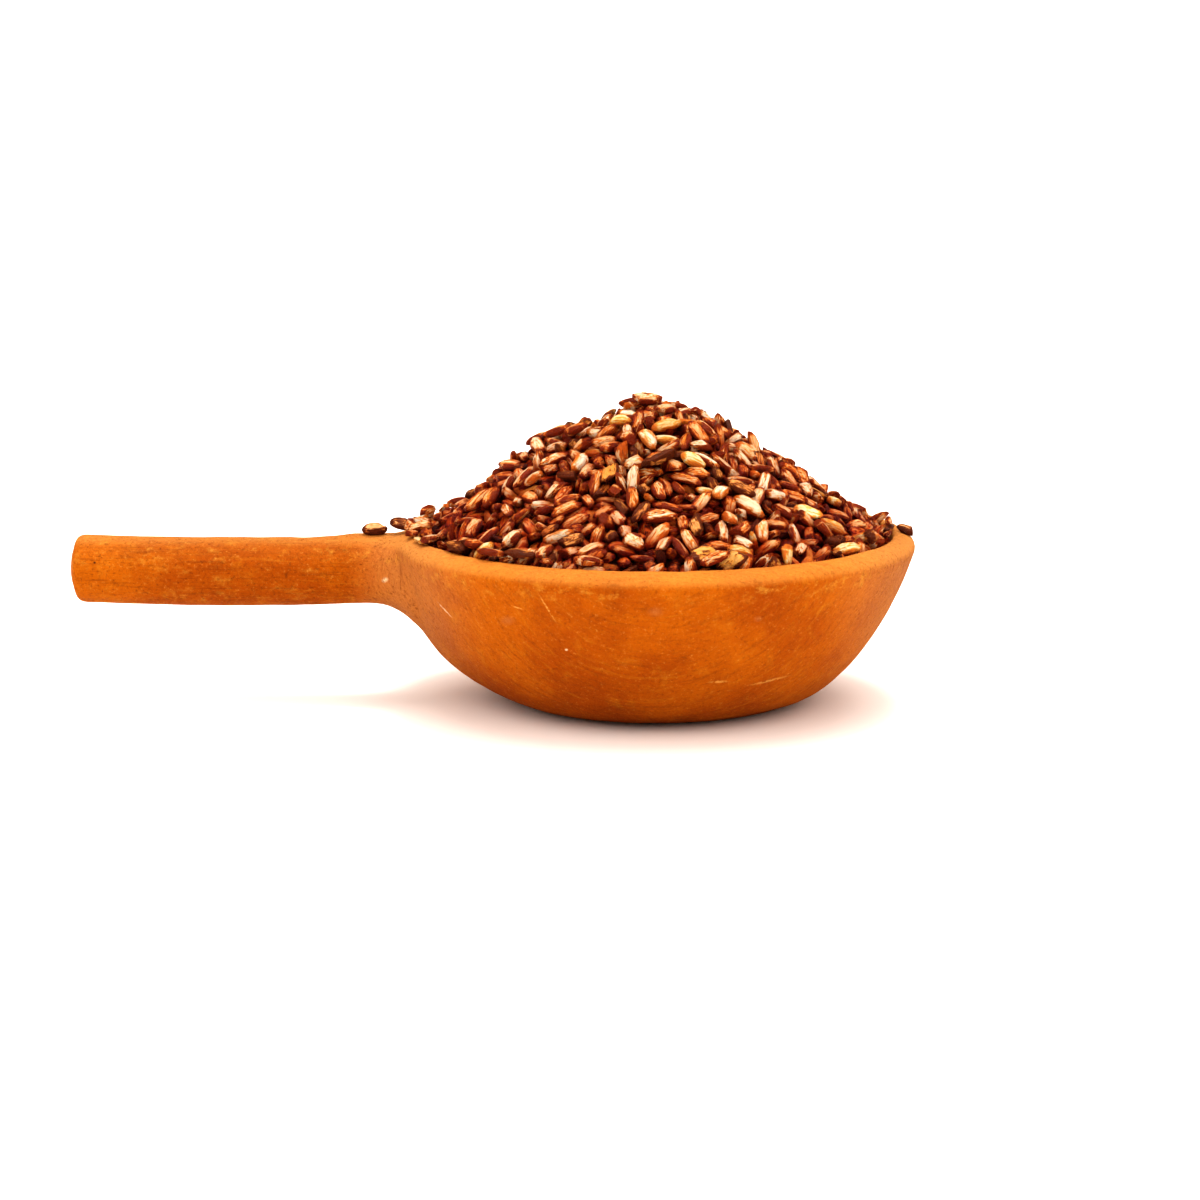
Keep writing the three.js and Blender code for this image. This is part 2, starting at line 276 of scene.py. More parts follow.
def clay_material():
    material, shader = new_material("fired_clay")
    tree = material.node_tree
    place = node(tree, "ShaderNodeTexCoord").outputs["Object"]
    parts = node(tree, "ShaderNodeSeparateXYZ", inputs={0: place})
    across, height = parts.outputs["X"], parts.outputs["Z"]

    deep = (0.37, 0.083, 0.002, 1)
    warm = (0.475, 0.127, 0.003, 1)
    pale = (0.66, 0.30, 0.075, 1)
    brown = (0.15, 0.038, 0.005, 1)
    ochre = (0.57, 0.23, 0.020, 1)
    dust_and_side_light = (0.56, 0.29, 0.12, 1)
    fleck = (0.66, 0.33, 0.055, 1)
    painted_shade_brown = (0.30, 0.14, 0.05, 1)

    clouds = ramp(tree, noise(tree, place, 55, 6, 0.62), 0.36, 0.66)
    colour = blend(tree, clouds, deep, warm)
    blotches = noise(tree, place, 260, 6, 0.72, 0.4)
    colour = blend(tree, ramp(tree, blotches, 0.52, 0.72, 0, 0.30), colour, ochre)
    colour = blend(tree, ramp(tree, blotches, 0.44, 0.26, 0, 0.22), colour, brown)

    # burnishing strokes: level across the bowl's front, upright at its sides, along the handle
    strokes_bowl = noise(tree, stretched(tree, place, (60, 1500, 260)), 1, 5, 0.62, 0.3)
    strokes_side = noise(tree, stretched(tree, place, (1900, 1900, 110)), 1, 4, 0.65, 0.6)
    strokes_handle = noise(tree, stretched(tree, place, (70, 1500, 1500)), 1, 5, 0.62, 0.3)
    aside = ramp(tree, sums(tree, "ABSOLUTE", across, 0), 26 * MM, 42 * MM)
    on_handle = ramp(tree, across, -44 * MM, -54 * MM)
    on_side = sums(tree, "SUBTRACT", aside, on_handle)
    strokes_body = blend(tree, aside, strokes_bowl, strokes_side)
    strokes = blend(tree, on_handle, strokes_body, strokes_handle)
    # the sides are paler and duller, partly dusty clay and partly painted light that lifts them
    colour = blend(tree, sums(tree, "MULTIPLY", on_side, 0.35), colour, dust_and_side_light)
    strength = sums(tree, "MULTIPLY_ADD", aside, 0.10, 0.22)
    dark_strokes = sums(tree, "MULTIPLY", ramp(tree, strokes, 0.53, 0.66), strength)
    colour = blend(tree, dark_strokes, colour, brown)
    colour = blend(tree, ramp(tree, strokes, 0.45, 0.30, 0, 0.28), colour, ochre)

    # the rim's top band is paler, partly from wear and partly a painted highlight where the light
    # from above falls, and pale flecks lie just under its edge and along the handle
    band = ramp(tree, height, RIM_HEIGHT - 3.0 * MM, RIM_HEIGHT - 1.6 * MM)
    colour = blend(tree, sums(tree, "MULTIPLY", band, 0.42), colour, pale)
    under_edge = sums(tree, "ABSOLUTE", sums(tree, "SUBTRACT", height, RIM_HEIGHT - 3.8 * MM), 0)
    flecked = ramp(tree, under_edge, 2.2 * MM, 0.5 * MM)
    flecked = sums(tree, "MAXIMUM", flecked, sums(tree, "MULTIPLY", on_handle, 0.6))
    flecked = sums(tree, "MULTIPLY", flecked, 0.6)
    flecks = noise(tree, stretched(tree, place, (300, 300, 480)), 1, 6, 0.75)
    flecks = ramp(tree, flecks, 0.50, 0.72)
    colour = blend(tree, sums(tree, "MULTIPLY", flecked, flecks), colour, fleck)

    # painted shade: the top of the handle is darkened where the light from above falls on it
    upper = ramp(tree, height, 23.5 * MM, 28.5 * MM)
    painted_top_shade = sums(tree, "MULTIPLY", sums(tree, "MULTIPLY", on_handle, upper), 0.2)
    colour = blend(tree, painted_top_shade, colour, painted_shade_brown)
    colour = mark_clay(tree, place, colour)

    # sand in the clay, dark and pale
    sand = noise(tree, place, 1700, 4, 0.8)
    grainy = sums(tree, "MULTIPLY_ADD", aside, 0.30, 0.52)
    dark_sand = sums(tree, "MULTIPLY", ramp(tree, sand, 0.51, 0.74), grainy)
    colour = blend(tree, dark_sand, colour, brown)
    colour = blend(tree, ramp(tree, sand, 0.44, 0.30, 0, 0.45), colour, pale)

    fine = bump(tree, sand, 0.0003)
    rough = bump(tree, blotches, 0.0007, under=fine)
    tooled = bump(tree, strokes, 0.0003, under=rough)
    look = {"Base Color": colour, "Normal": tooled, "Roughness": 0.7, "Specular IOR Level": 0.06}
    plug(tree, shader, look)
    return material


def grain_material(name, tones, cover):
    """Rice with its bran left on in lengthwise streaks and at its edges, rubbed off its flat sides.
    The darker edges are partly painted shade.
    Tones go from bare rice to the thickest bran. Cover is the least and the most bran on it."""
    material, shader = new_material(name)
    tree = material.node_tree
    point = stored(tree, "grain_point")
    luck = stored(tree, "grain_luck")
    parts = node(tree, "ShaderNodeSeparateXYZ", inputs={0: luck})
    tone, share, shade = (parts.outputs[axis] for axis in "XYZ")
    far = node(tree, "ShaderNodeVectorMath", {"operation": "SCALE"}, {0: luck, "Scale": 41.0})
    own = node(tree, "ShaderNodeVectorMath", {"operation": "ADD"}, {0: point, 1: far.outputs[0]})
    streaks = noise(tree, stretched(tree, own.outputs[0], (2.0, 4.6, 4.6)), 1, 5, 0.68, 1.0)
    lines = noise(tree, stretched(tree, own.outputs[0], (1.5, 11, 11)), 1, 3, 0.6)

    # the edges and ends carry more bran, and are also darker as painted shade, where the grain
    # turns away
    sides = node(tree, "ShaderNodeSeparateXYZ", inputs={0: point})
    edge = sums(tree, "ABSOLUTE", sides.outputs["Y"], 0)
    tip = sums(tree, "ABSOLUTE", sides.outputs["X"], 0)
    outer = sums(tree, "MAXIMUM", edge, sums(tree, "MULTIPLY", tip, 0.92))
    outer = ramp(tree, outer, 0.24, 0.48)
    rest = sums(tree, "MULTIPLY_ADD", outer, 1.35, -2.16)
    bran = sums(tree, "MULTIPLY_ADD", streaks, 4.2, rest)
    least, most = cover
    bran = sums(tree, "ADD", bran, ramp(tree, share, 0, 1, least, most))
    bran = sums(tree, "MULTIPLY_ADD", ramp(tree, lines, 0.5, 0.62), 0.3, bran)

    layers = node(tree, "ShaderNodeValToRGB", inputs={0: bran})
    stops = layers.color_ramp.elements
    stops[0].position, stops[0].color = 0.12, tones[0]
    stops[1].position, stops[1].color = 1.0, tones[-1]
    for place, colour in zip((0.30, 0.46, 0.70), tones[1:-1]):
        stop = stops.new(place)
        stop.color = colour
    white, dull, painted_shade_tone = (1, 1, 1, 1), (0.88, 0.70, 0.52, 1), (0.64, 0.25, 0.07, 1)
    dulling = blend(tree, shade, white, dull)
    colour = blend(tree, 1.0, layers.outputs["Color"], dulling, "MULTIPLY")

    # painted shade: darker deep in the heap, and where the next grain is near
    buried = ramp(tree, stored(tree, "grain_depth", "Fac"), 1.4 * MM, 3.4 * MM)
    pressed = ramp(tree, stored(tree, "grain_gap", "Fac"), 0.4 * MM, -0.12 * MM, 0, 0.75)
    shadow = blend(tree, sums(tree, "MAXIMUM", buried, pressed), white, painted_shade_tone)
    colour = blend(tree, 1.0, colour, shadow, "MULTIPLY")
    ribs = bump(tree, lines, 0.0005)
    rough = bump(tree, streaks, 0.0006, under=ribs)
    look = {"Base Color": colour, "Normal": rough, "Roughness": 0.34, "Specular IOR Level": 0.24}
    plug(tree, shader, look)
    return material


# ---- the clay bowl with its handle


def deselect_all():
    bpy.ops.object.select_all(action="DESELECT")


def cubic(points, steps):
    """Points along a curve through two ends, drawn towards two handles."""
    a, b, c, d = (np.array(point, float) for point in points)
    t = np.linspace(0, 1, steps + 1)[:, None]
    return a * (1 - t) ** 3 + 3 * b * t * (1 - t) ** 2 + 3 * c * t * t * (1 - t) + d * t**3


def outer_wall(steps):
    """Radius and height along the outside of the wall, from the flat base to just under the rim."""
    shoulder = (BOWL_RADIUS - 0.2 * MM, SHOULDER_HEIGHT)
    return cubic(((BASE_RADIUS, 0), (31 * MM, 0.4 * MM), (38.4 * MM, 9.5 * MM), shoulder), steps)


def outside_rings():
    """The bowl's outside and its rim, a sloping band with a small rounded edge."""
    rim = cubic(
        (
            (BOWL_RADIUS - 0.2 * MM, SHOULDER_HEIGHT),
            (BOWL_RADIUS + 0.1 * MM, SHOULDER_HEIGHT + 1.1 * MM),
            (BOWL_RADIUS - 0.2 * MM, SHOULDER_HEIGHT + 1.5 * MM),
            (BOWL_RADIUS - 1.4 * MM, RIM_HEIGHT - 0.8 * MM),
        ),
        9,
    )
    inner = (RIM_INNER, RIM_HEIGHT)
    return np.concatenate([outer_wall(26), rim[1:], [inner, (5 * MM, RIM_HEIGHT)]])


def inside_rings():
    """The hollow that the rice lies in, from its floor to above the rim."""
    wall = cubic(
        (
            (14 * MM, FLOOR_THICKNESS),
            (28 * MM, FLOOR_THICKNESS),
            (36 * MM, 13 * MM),
            (RIM_INNER, RIM_HEIGHT - 1 * MM),
        ),
        18,
    )
    flare = [
        (RIM_INNER + 0.2 * MM, RIM_HEIGHT - 0.3 * MM),
        (RIM_INNER + 0.8 * MM, RIM_HEIGHT + 0.2 * MM),
        (RIM_INNER + 0.8 * MM, RIM_HEIGHT + 5 * MM),
    ]
    return np.concatenate([wall, flare])


def raise_rings(rings):
    """Extrudes the selected face from ring to ring, each a radius and a height about Z."""
    for (radius, height), (next_radius, next_height) in zip(rings, rings[1:]):
        share = next_radius / radius
        bpy.ops.mesh.extrude_region_move(
            TRANSFORM_OT_translate={"value": (0, 0, next_height - height)}
        )
        bpy.ops.transform.resize(value=(share, share, 1), center_override=(0, 0, 0))


def round_face(name, sides, radius, place, tilt=0):
    """A piece that is one round face, left selected in edit mode to be extruded."""
    deselect_all()
    bpy.ops.mesh.primitive_circle_add(
        vertices=sides, radius=radius, fill_type="NGON", rotation=(0, tilt, 0), location=place
    )
    piece = bpy.context.object
    piece.name = name
    bpy.ops.object.transform_apply(location=True, rotation=True, scale=True)
    bpy.ops.object.mode_set(mode="EDIT")
    bpy.ops.mesh.select_all(action="SELECT")
    return piece


def turned_solid(name, rings):
    """A solid of rings about the Z axis, extruded upwards from its lowest ring."""
    radius, height = rings[0]
    solid = round_face(name, BOWL_SIDES, radius, (0, 0, height))
    raise_rings(rings)
    close_shell()
    return solid


def close_shell():
    """Fills what is open, merges doubles, turns the faces outwards and leaves edit mode."""
    bpy.ops.mesh.select_all(action="SELECT")
    bpy.ops.mesh.remove_doubles(threshold=1e-6)
    bpy.ops.mesh.select_all(action="DESELECT")
    bpy.ops.mesh.select_non_manifold(extend=False)
    bpy.ops.mesh.fill_holes(sides=0)
    bpy.ops.mesh.select_all(action="SELECT")
    bpy.ops.mesh.normals_make_consistent(inside=False)
    bpy.ops.object.mode_set(mode="OBJECT")


def handle_section(distance):
    """Centre height, half height and half width of the handle at a distance from the bowl's axis.
    Its root rises to the rim, spreads sideways, and runs down the wall in a long fillet."""
    sag = 0.6 * MM * ((distance - 72 * MM) / (30 * MM)) ** 2
    centre = HANDLE_HEIGHT + sag

    def to_wall(start):
        return max(0.0, start - distance / MM)

    rise = min(0.035 * MM * to_wall(59) ** 1.5, RIM_HEIGHT - 0.9 * MM - centre - HANDLE_RADIUS)
    top = centre + HANDLE_RADIUS + rise
    bottom = centre - HANDLE_RADIUS - 0.07 * MM * to_wall(48.5) ** 2
    if distance < 39.3 * MM:
        bottom = max(bottom, 8.6 * MM + 0.65 * (distance - HANDLE_ROOT))
    half_width = HANDLE_RADIUS + min(0.05 * to_wall(52) ** 2, 5) * MM
    return (top + bottom) / 2, (top - bottom) / 2, half_width


def pull_handle():
    """The handle, extruded from inside the bowl's wall to its domed end."""
    centre, half_height, half_width = handle_section(HANDLE_ROOT)
    start = (-HANDLE_ROOT, 0, centre)
    handle = round_face("clay_handle", HANDLE_SIDES, 1.0, start, math.pi / 2)
    bpy.ops.transform.resize(value=(1, half_width, half_height), center_override=start)

    edge = 1.7 * MM
    dome = 0.9 * MM
    root = np.linspace(HANDLE_ROOT, 56 * MM, 24)
    bar = np.linspace(60 * MM, 99 * MM, 10)
    steps = [(distance, 1.0) for distance in (*root, *bar)]
    for turn in np.linspace(0.15, 1.0, 6) * math.pi / 2:
        shrink = 1 - (edge / HANDLE_RADIUS) * (1 - math.cos(turn))
        steps.append((HANDLE_REACH - dome - edge + edge * math.sin(turn), shrink))
    for shrink, bulge in ((0.5, 0.55), (0.22, 0.85), (0.05, 1.0)):
        steps.append((HANDLE_REACH - dome + dome * bulge, shrink))

    here, size = HANDLE_ROOT, (half_width, half_height)
    for distance, shrink in steps[1:]:
        next_centre, next_high, next_wide = handle_section(distance)
        next_high, next_wide = next_high * shrink, next_wide * shrink
        bpy.ops.mesh.extrude_region_move(
            TRANSFORM_OT_translate={"value": (here - distance, 0, next_centre - centre)}
        )
        bpy.ops.transform.resize(
            value=(1, next_wide / size[0], next_high / size[1]),
            center_override=(-distance, 0, next_centre),
        )
        here, centre, size = distance, next_centre, (next_wide, next_high)
    close_shell()
    return handle


def pick_up(piece):
    """Makes a piece the only one selected, and the active one."""
    deselect_all()
    piece.select_set(True)
    bpy.context.view_layer.objects.active = piece


def apply_modifier(piece, name, kind, **settings):
    modifier = piece.modifiers.new(name, kind)
    for key, value in settings.items():
        setattr(modifier, key, value)
    pick_up(piece)
    bpy.ops.object.modifier_apply(modifier=name)


def roughen(piece, name, size, strength, corners, detail=2, middle=0.5):
    """Gives a piece soft bumps of a size, only at the given corners."""
    clouds = bpy.data.textures.new(name, "CLOUDS")
    clouds.noise_scale = size
    clouds.noise_depth = detail
    piece.vertex_groups.new(name=name).add(corners, 1.0, "REPLACE")
    settings = {"texture": clouds, "texture_coords": "LOCAL", "vertex_group": name}
    apply_modifier(piece, name, "DISPLACE", strength=strength, mid_level=middle, **settings)
    piece.vertex_groups.clear()


def make_ladle():
    bowl = turned_solid("ladle_clay", outside_rings())
    fill_out_wall(bowl)
    handle = pull_handle()
    hollow = turned_solid("hollow", inside_rings())
    for tool, operation in ((handle, "UNION"), (hollow, "DIFFERENCE")):
        apply_modifier(bowl, "cut", "BOOLEAN", operation=operation, object=tool, solver="EXACT")
        bpy.data.objects.remove(tool)
    settings = {"mode": "VOXEL", "voxel_size": CLAY_FACE, "use_smooth_shade": True}
    apply_modifier(bowl, "clay", "REMESH", **settings)
    soften_root(bowl)
    shape_by_hand(bowl)
    bowl.data.materials.clear()
    bowl.data.materials.append(clay_material())
    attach(bowl, "root")
    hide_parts("clay_ladle")


def fill_out_wall(bowl):
    """Draws the wall under the handle out a little, so that the handle's root runs down into it."""
    draw_out(bowl, (-37.5 * MM, 0, 11 * MM), (-2.3 * MM, 0, 0), 17 * MM)


def draw_out(piece, place, move, reach):
    """Moves the surface at a place, and less and less of it around, out to reach."""
    select_near(piece, place, 2.5 * MM)
    bpy.ops.transform.translate(
        value=move,
        use_proportional_edit=True,
        proportional_edit_falloff="SMOOTH",
        proportional_size=reach,
    )
    bpy.ops.object.mode_set(mode="OBJECT")


def select_near(piece, place, reach):
    """Enters edit mode with only the corners within reach of a place selected."""
    pick_up(piece)
    bpy.ops.object.mode_set(mode="EDIT")
    bpy.ops.mesh.select_all(action="DESELECT")
    bpy.ops.mesh.select_mode(type="VERT")
    bpy.ops.object.mode_set(mode="OBJECT")
    for corner in piece.data.vertices:
        corner.select = (corner.co - Vector(place)).length < reach
    bpy.ops.object.mode_set(mode="EDIT")


def shape_by_hand(bowl):
    """Gives the clay the small unevenness of handwork, all but the flat base."""
    worked = corners_above(bowl, 0.8 * MM)
    roughen(bowl, "palm", 16 * MM, 0.55 * MM, worked)
    roughen(bowl, "fingertips", 5 * MM, 0.16 * MM, worked)


def places_of(piece):
    places = np.empty(len(piece.data.vertices) * 3)
    piece.data.vertices.foreach_get("co", places)
    return places.reshape(-1, 3)


def corners_above(piece, height):
    return np.nonzero(places_of(piece)[:, 2] > height)[0].tolist()


def soften_root(bowl):
    """Rubs the handle's root smooth, where it grows out of the wall."""
    group = bowl.vertex_groups.new(name="root")
    places = places_of(bowl)
    near = np.hypot(places[:, 0] + 43 * MM, places[:, 1])
    inside = np.hypot(places[:, 0], places[:, 1]) < RIM_INNER + 1 * MM
    weight = np.clip((20 * MM - near) / (6 * MM), 0, 1)
    weight[inside & (places[:, 2] > 12 * MM)] = 0
    for level in np.linspace(0.1, 1, 10):
        chosen = np.nonzero(np.abs(weight - level) <= 0.05)[0]
        if len(chosen):
            group.add(chosen.tolist(), float(level), "REPLACE")
    apply_modifier(bowl, "rub", "SMOOTH", factor=0.5, iterations=40, vertex_group="root")
    bowl.vertex_groups.clear()


# ---- the rice


def slope_height(radius):
    """Height of the heap's slope at a distance from its axis: a cone with a broad round top."""
    share = np.minimum(radius / HEAP_RADIUS, 1.15)
    reach = np.hypot(1, HEAP_TOP_ROUNDING)
    cone = (reach - np.hypot(share, HEAP_TOP_ROUNDING)) / (reach - HEAP_TOP_ROUNDING)
    slope = HEAP_EDGE + (HEAP_RISE - HEAP_EDGE) * cone
    return RIM_HEIGHT + slope - HEAP_HOLLOW * 4 * share * (1 - share)


def heap_height(x, y):
    """Height of the heap's surface."""
    bulge_x, bulge_y = BULGE_PLACE
    near = 1 - np.minimum(np.hypot(x - bulge_x, y - bulge_y) / BULGE_REACH, 1)
    return slope_height(np.hypot(x, y)) + BULGE_RISE * near * near * (3 - 2 * near)


def heap_normal(places):
    """The way straight out of the slope at each place."""
    x, y = places[..., 0], places[..., 1]
    step = 0.2 * MM
    fall_x = (heap_height(x + step, y) - heap_height(x - step, y)) / (2 * step)
    fall_y = (heap_height(x, y + step) - heap_height(x, y - step)) / (2 * step)
    normal = np.stack([-fall_x, -fall_y, np.ones_like(x)], -1)
    return normal / np.linalg.norm(normal, axis=-1, keepdims=True)


def neighbours(places, balls, reach):
    """Pairs of a place and a ball in the same or in touching cells of width reach, in batches."""
    low = np.floor(balls.min(0) / reach).astype(np.int64) - 2
    ball_cell = np.floor(balls / reach).astype(np.int64) - low
    span = ball_cell.max(0) + 3
    place_cell = np.clip(np.floor(places / reach).astype(np.int64) - low, 1, span - 2)

    def key(cell):
        return (cell[:, 0] * span[1] + cell[:, 1]) * span[2] + cell[:, 2]

    order = np.argsort(key(ball_cell), kind="stable")
    in_order = key(ball_cell)[order]
    for offset in np.ndindex(3, 3, 3):
        beside = key(place_cell + np.array(offset) - 1)
        start = np.searchsorted(in_order, beside, "left")
        count = np.searchsorted(in_order, beside, "right") - start
        place = np.repeat(np.arange(len(places)), count)
        first = np.repeat(start - np.cumsum(count) + count, count)
        yield place, order[first + np.arange(count.sum())]


def close_pairs(balls, owner, reach):
    """Pairs of balls of different grains that lie nearer than reach."""
    found = []
    for first, second in neighbours(balls, balls, reach):
        keep = (first < second) & (owner[first] != owner[second])
        found.append(np.stack([first[keep], second[keep]], 1))
    found = np.concatenate(found)
    apart = balls[found[:, 0]] - balls[found[:, 1]]
    return found[(apart**2).sum(1) < reach * reach]


def gaps_to_others(places, owner, balls, radii, ball_owner, reach):
    """How far each place on a grain is from the next grain, up to reach."""
    gaps = np.full(len(places), reach)
    for place, ball in neighbours(places, balls, reach):
        other = owner[place] != ball_owner[ball]
        place, ball = place[other], ball[other]
        gap = np.sqrt(((places[place] - balls[ball]) ** 2).sum(1)) - radii[ball]
        np.minimum.at(gaps, place, gap)
    return gaps


def part_balls(balls, radii, pairs):
    """Pushes overlapping balls apart."""
    first, second = pairs.T
    apart = balls[first] - balls[second]
    distance = np.sqrt((apart**2).sum(1)) + 1e-9
    overlap = radii[first] + radii[second] - distance
    hit = overlap > 0
    first, second = first[hit], second[hit]
    push = apart[hit] * (0.5 * overlap[hit] / distance[hit])[:, None]
    size = len(balls)
    touches = np.bincount(first, minlength=size) + np.bincount(second, minlength=size)
    move = np.stack(
        [
            np.bincount(first, push[:, axis], size) - np.bincount(second, push[:, axis], size)
            for axis in range(3)
        ],
        1,
    )
    balls += 1.3 * move / np.maximum(touches, 1)[:, None]


def rim_top(radius):
    """Height of the clay at a distance from the bowl's axis, on top of the rim."""
    return np.interp(
        radius,
        (RIM_INNER, BOWL_RADIUS - 1.4 * MM, BOWL_RADIUS - 0.2 * MM),
        (RIM_HEIGHT, RIM_HEIGHT - 0.8 * MM, RIM_HEIGHT - 1.7 * MM),
    )


def keep_in_bowl(balls, radii):
    """Keeps the balls on the core, and inside the bowl's wall or on top of its rim."""
    normal = heap_normal(balls)
    gap = (balls[:, 2] - heap_height(balls[:, 0], balls[:, 1])) * normal[:, 2] + CORE_DEPTH - radii
    balls -= normal * np.minimum(gap, 0)[:, None]
    radius = np.hypot(balls[:, 0], balls[:, 1])
    leftward = np.maximum(-balls[:, 0] / radius, 0)
    brink = RIM_INNER + (0.4 + 1.9 * leftward**4) * MM - radii
    balls[:, :2] *= np.minimum(brink / radius, 1)[:, None]
    radius = np.minimum(radius, brink)
    too_far = np.maximum(radius - (RIM_INNER - 0.2 * MM - radii), 0)
    too_low = np.maximum(rim_top(radius) + 0.1 * MM + radii - balls[:, 2], 0)
    lifted = (too_low < too_far) & (too_far > 0)
    pushed = (too_low >= too_far) & (too_far > 0)
    balls[lifted, 2] += too_low[lifted]
    balls[pushed, :2] *= (1 - too_far[pushed] / radius[pushed])[:, None]


def inward(balls):
    """The way grains are drawn: into the slope, and straight down at the rim."""
    at_rim = np.clip((np.hypot(balls[:, 0], balls[:, 1]) - 37 * MM) / (3 * MM), 0, 1)[:, None]
    way = heap_normal(balls) * (1 - at_rim) + np.array([0, 0, 1.0]) * at_rim
    return -way / np.linalg.norm(way, axis=1)[:, None]


# Shares of the loose pieces by sort.
SORTS = {
    "whole": 0.44,
    "broken": 0.27,
    "crumb": 0.16,
    "sliver": 0.05,
    "flake": 0.04,
    "seed": 0.04,
}


def pour_grains(random):
    """Scatters grains over the heap in loose layers and lets them settle on it."""
    count = GRAIN_COUNT + EDGE_GRAINS
    sort = random.choice(list(SORTS), size=count, p=list(SORTS.values()))

    def spread(low, high):
        return random.uniform(low, high, count)

    # sizes in millimetres at first
    length = np.select(
        [sort == "whole", sort == "broken", sort == "crumb", sort == "sliver", sort == "flake"],
        [spread(4.6, 6.4), spread(2.7, 4.1), spread(1.5, 2.6), spread(4.0, 6.8), spread(3.2, 4.8)],
        spread(2.0, 2.6),
    )
    width = np.select(
        [sort == "crumb", sort == "sliver", sort == "flake", sort == "seed"],
        [length * spread(0.6, 0.85), spread(0.9, 1.4), length * spread(0.6, 0.75), length * 0.9],
        spread(1.85, 2.5),
    )
    thickness = width * np.where(sort == "flake", 0.28, spread(0.68, 0.88))
    length, width, thickness = length * MM, width * MM, thickness * MM

    place = np.arange(GRAIN_COUNT) + 0.5
    radius = np.sqrt(place / GRAIN_COUNT) * (HEAP_RADIUS - 0.5 * MM)
    radius = np.append(radius, random.uniform(*EDGE_BAND, EDGE_GRAINS))
    angle = np.arange(count) * math.pi * (3 - math.sqrt(5)) + random.uniform(0, 0.4, count)
    layer = random.integers(0, 3, count) * 2.6 * MM + 1.2 * MM - CORE_DEPTH
    layer[GRAIN_COUNT:] = random.uniform(0.5, 2.5, EDGE_GRAINS) * MM
    x, y = radius * np.cos(angle), radius * np.sin(angle)
    centre = np.stack([x, y, heap_height(x, y)], 1)
    normal = heap_normal(centre)
    centre += normal * layer[:, None]
    lie = random.normal(size=(count, 3))
    flat = random.uniform(0, 1, count)
    lie -= normal * ((lie * normal).sum(1) * flat)[:, None]
    lie /= np.linalg.norm(lie, axis=1)[:, None]
    kind = random.choice(list(KINDS), size=count, p=[share for share, _, _ in KINDS.values()])
    kind[sort == "seed"] = "rice_dark"
    grains = {
        "centre": centre,
        "lie": lie,
        "length": length,
        "width": width,
        "thickness": thickness,
        "sort": sort,
        "kind": kind,
    }
    add_standouts(grains)
    settle(grains)
    return grains


def on_heap(pixel):
    """The place on the front of the heap that a pixel of the photograph shows."""
    y = np.linspace(-HEAP_RADIUS, 10 * MM, 600)
    focal = PIXELS_PER_METRE * CAMERA_DISTANCE
    cos, sin = math.cos(CAMERA_ELEVATION), math.sin(CAMERA_ELEVATION)
    z = heap_height((pixel[0] - ORIGIN_PIXEL[0]) / PIXELS_PER_METRE, y)
    x = (pixel[0] - ORIGIN_PIXEL[0]) * (CAMERA_DISTANCE + y * cos - z * sin) / focal
    z = heap_height(x, y)
    down = ORIGIN_PIXEL[1] - focal * (z * cos + y * sin) / (CAMERA_DISTANCE + y * cos - z * sin)
    nearest = np.argmin(np.abs(down - pixel[1]))
    return np.array([x[nearest], y[nearest], z[nearest]])


def add_standouts(grains):
    """Adds the grains that catch the eye in the photograph, laid on top of the others."""
    rows = {key: [] for key in grains}
    for kind, sort, pixel, slant, length, width in STANDOUTS:
        centre = on_heap(pixel)
        normal = heap_normal(centre[None])[0]
        level = np.array([1.0, 0, 0]) - normal * normal[0]
        level /= np.linalg.norm(level)
        turn = math.radians(slant)
        flat = {"flake": 0.25, "seed": 0.95}.get(sort, 0.78)
        rows["centre"].append(centre + 1.8 * MM * normal)
        rows["lie"].append(math.cos(turn) * level + math.sin(turn) * np.cross(normal, level))
        rows["length"].append(length * MM)
        rows["width"].append(width * MM)
        rows["thickness"].append(width * flat * MM)
        rows["sort"].append(sort)
        rows["kind"].append(kind)
    for key, added in rows.items():
        grains[key] = np.concatenate([grains[key], np.array(added)])


BALL_PLACES = np.array([-0.36, -0.13, 0.13, 0.36])  # along a grain, as shares of its length
BALL_SIZES = np.array([0.74, 1, 1, 0.74])


def row_of_balls(centre, lie, length):
    """Each grain as a row of four balls, slimmer at its ends."""
    along = BALL_PLACES * length[:, None]
    return (centre[:, None] + along[:, :, None] * lie[:, None]).reshape(-1, 3)


def ball_radii(grains):
    girth = (grains["width"] + grains["thickness"]) / 4
    return (BALL_SIZES * girth[:, None]).ravel()


def settle(grains):
    """Draws the grains in to the heap's core until they rest on it and on each other."""
    centre, lie, length = grains["centre"], grains["lie"], grains["length"]
    count = len(centre)
    along = BALL_PLACES * length[:, None]
    radii = ball_radii(grains)
    owner = np.repeat(np.arange(count), 4)
    balls = row_of_balls(centre, lie, length)
    for step in range(SETTLING_STEPS):
        done = step / SETTLING_STEPS
        pull = 0.1 * MM if done < 0.6 else 0.03 * MM if done < 0.85 else 0
        balls += inward(balls) * pull
        if step % 6 == 0:
            pairs = close_pairs(balls, owner, PAIR_REACH)
        for _ in range(2):
            part_balls(balls, radii, pairs)
            keep_in_bowl(balls, radii)
            rows = balls.reshape(count, 4, 3)
            centre = rows.mean(1)
            lie = (rows * along[:, :, None]).sum(1)
            lie /= np.linalg.norm(lie, axis=1)[:, None]
            balls = row_of_balls(centre, lie, length)
    grains["centre"], grains["lie"] = centre, lie


def shape_of(piece):
    """Takes a template's corners and faces, and removes it."""
    mesh = piece.data
    corners = np.array([vertex.co for vertex in mesh.vertices])
    faces = [tuple(face.vertices) for face in mesh.polygons]
    bpy.data.objects.remove(piece)
    return corners, faces


